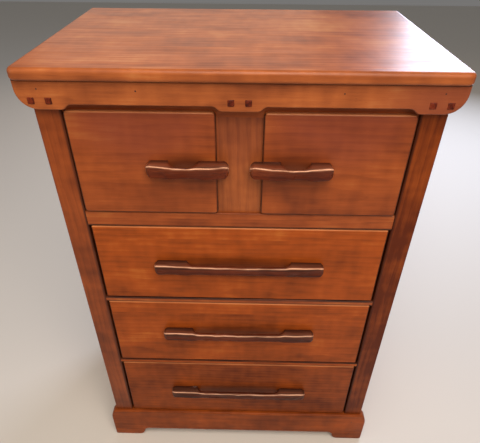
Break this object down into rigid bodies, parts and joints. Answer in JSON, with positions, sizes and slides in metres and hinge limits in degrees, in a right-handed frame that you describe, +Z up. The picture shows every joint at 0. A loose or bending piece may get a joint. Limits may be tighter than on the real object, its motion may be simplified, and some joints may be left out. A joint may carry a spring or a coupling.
{
  "type": "chest of drawers",
  "caption": "Rustic stained-wood chest of drawers: small drawers side by side over wide ones, shaped apron with square pegs, arched base board and whittled bar handles.",
  "frame": {"origin": "on the floor, under the middle of the whole chest, handles included", "axes": "+X to the viewer's right, +Z up, drawers open along -Y"},
  "size_m": [0.788, 0.513, 1.181],
  "materials": {
    "stained_maple": "warm red-brown stain under satin lacquer",
    "raw_maple": "planed, unfinished",
    "plywood": "thin birch plywood, unfinished",
    "dark_handle_wood": "dark brown stain, knife-cut, satin lacquer",
    "peg_wood": "dark end grain, satin lacquer",
    "screw_steel": "plain steel screw heads"
  },
  "bodies": {
    "case": {"apron_pegs": "peg_wood", "back_panel": "plywood", "base_board": "stained_maple", "base_corner_blocks": "raw_maple", "bottom_rail": "raw_maple", "center_runner": "raw_maple", "center_stile": "stained_maple", "front_apron": "stained_maple", "left_front_post": "stained_maple", "left_runners": "raw_maple", "left_side_panel": "stained_maple", "left_top_cleat": "raw_maple", "lower_thin_rail": "stained_maple", "rear_rails": "raw_maple", "right_front_post": "stained_maple", "right_runners": "raw_maple", "right_side_panel": "stained_maple", "right_top_cleat": "raw_maple", "top_front_rail": "stained_maple", "top_panel": "stained_maple", "top_rear_rail": "raw_maple", "top_screws": "screw_steel", "upper_thin_rail": "stained_maple", "wide_rail": "stained_maple"},
    "upper_left_drawer": {"upper_left_drawer_back": "raw_maple", "upper_left_drawer_bottom": "plywood", "upper_left_drawer_front": "stained_maple", "upper_left_drawer_handle": "dark_handle_wood", "upper_left_drawer_handle_screws": "screw_steel", "upper_left_drawer_left_side": "raw_maple", "upper_left_drawer_right_side": "raw_maple"},
    "upper_right_drawer": {"upper_right_drawer_back": "raw_maple", "upper_right_drawer_bottom": "plywood", "upper_right_drawer_front": "stained_maple", "upper_right_drawer_handle": "dark_handle_wood", "upper_right_drawer_handle_screws": "screw_steel", "upper_right_drawer_left_side": "raw_maple", "upper_right_drawer_right_side": "raw_maple"},
    "second_drawer": {"second_drawer_back": "raw_maple", "second_drawer_bottom": "plywood", "second_drawer_front": "stained_maple", "second_drawer_handle": "dark_handle_wood", "second_drawer_handle_screws": "screw_steel", "second_drawer_left_side": "raw_maple", "second_drawer_right_side": "raw_maple"},
    "third_drawer": {"third_drawer_back": "raw_maple", "third_drawer_bottom": "plywood", "third_drawer_front": "stained_maple", "third_drawer_handle": "dark_handle_wood", "third_drawer_handle_screws": "screw_steel", "third_drawer_left_side": "raw_maple", "third_drawer_right_side": "raw_maple"},
    "lowest_drawer": {"lowest_drawer_back": "raw_maple", "lowest_drawer_bottom": "plywood", "lowest_drawer_front": "stained_maple", "lowest_drawer_handle": "dark_handle_wood", "lowest_drawer_handle_screws": "screw_steel", "lowest_drawer_left_side": "raw_maple", "lowest_drawer_right_side": "raw_maple"}
  },
  "joints": [
    {"name": "upper_left_drawer_slide", "type": "slide", "parent": "case", "child": "upper_left_drawer", "axis": [0, -1, 0], "range_m": [0, 0.34]},
    {"name": "upper_right_drawer_slide", "type": "slide", "parent": "case", "child": "upper_right_drawer", "axis": [0, -1, 0], "range_m": [0, 0.34]},
    {"name": "second_drawer_slide", "type": "slide", "parent": "case", "child": "second_drawer", "axis": [0, -1, 0], "range_m": [0, 0.34]},
    {"name": "third_drawer_slide", "type": "slide", "parent": "case", "child": "third_drawer", "axis": [0, -1, 0], "range_m": [0, 0.34]},
    {"name": "lowest_drawer_slide", "type": "slide", "parent": "case", "child": "lowest_drawer", "axis": [0, -1, 0], "range_m": [0, 0.34]}
  ]
}
